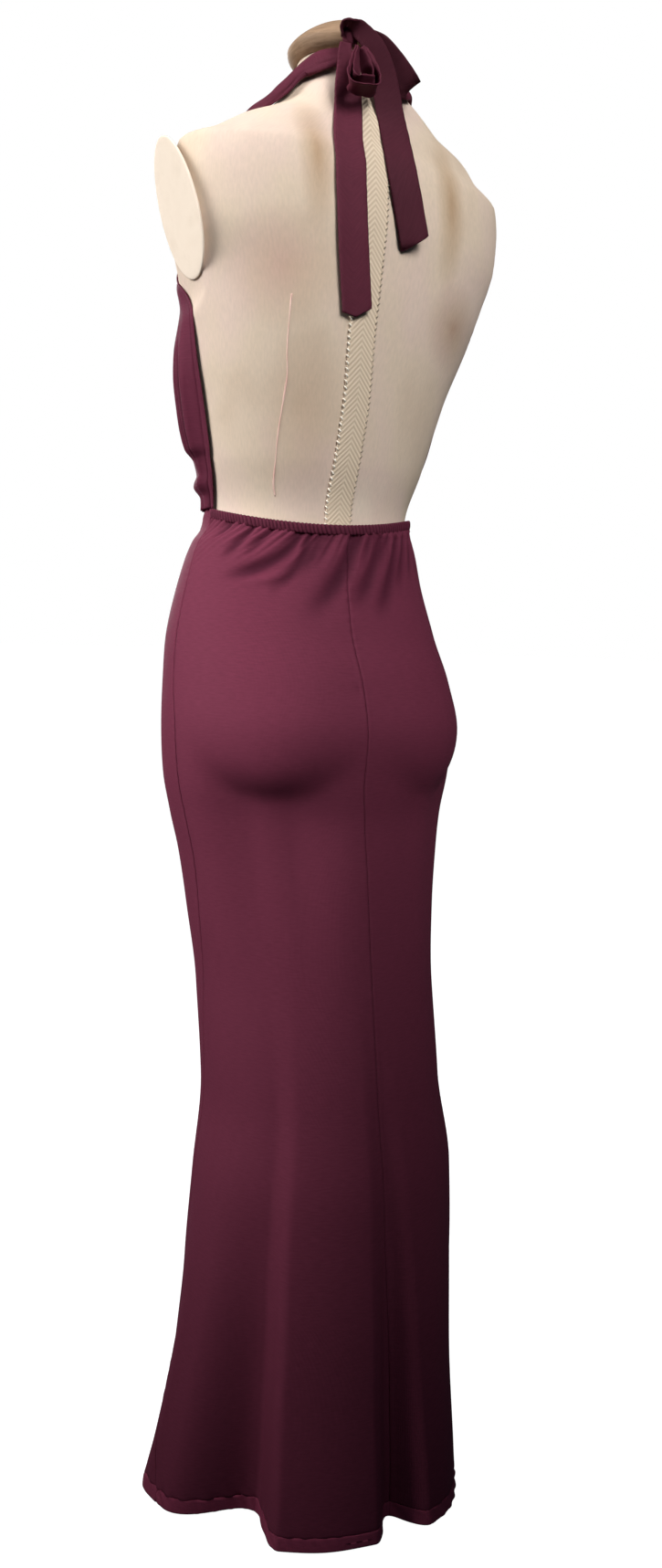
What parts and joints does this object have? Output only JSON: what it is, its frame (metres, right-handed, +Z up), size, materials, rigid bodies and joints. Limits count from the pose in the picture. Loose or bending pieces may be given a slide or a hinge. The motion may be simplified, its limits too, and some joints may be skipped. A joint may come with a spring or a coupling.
{
  "type": "mermaid dress on a dress form",
  "caption": "Floor-length mermaid dress with a halter neck, open back, bow at the nape and flared hem, worn by a limbless dress form on a round base.",
  "frame": {"origin": "on the floor, in the middle of the round base's flat underside", "axes": "+Z up along the stand's pole; the dress faces -Y, its open back faces +Y, and the wearer's left side is +X"},
  "size_m": [0.3873, 0.3837, 1.4853],
  "materials": {
    "dress_jersey": "burgundy knitted jersey with a soft sheen",
    "form_linen": "plain woven cream linen, matt",
    "form_tape": "herringbone cotton tape, whip-stitched",
    "arm_plate": "smooth pale cream, satin",
    "turned_wood": "brown stained and waxed",
    "stand_steel": "brushed tube",
    "stand_iron": "black powder coat"
  },
  "bodies": {
    "root": {"form_body": "form_linen", "form_centre_tape": "form_tape", "form_arm_plate_left": "arm_plate", "form_arm_plate_right": "arm_plate", "form_neck_cap": "turned_wood", "form_bottom_board": "turned_wood", "stand_pole": "stand_steel", "stand_collar": "stand_iron", "stand_base": "stand_iron", "skirt_back_left": "dress_jersey", "skirt_back_right": "dress_jersey", "skirt_front": "dress_jersey", "hem_back_left": "dress_jersey", "hem_back_right": "dress_jersey", "hem_front": "dress_jersey", "waist_casing": "dress_jersey", "bodice_left": "dress_jersey", "bodice_right": "dress_jersey", "strap_left": "dress_jersey", "strap_right": "dress_jersey", "tie_knot": "dress_jersey", "tie_tail_left": "dress_jersey", "tie_tail_right": "dress_jersey", "tie_loop_hanging": "dress_jersey", "tie_loop_side": "dress_jersey"}
  },
  "joints": []
}
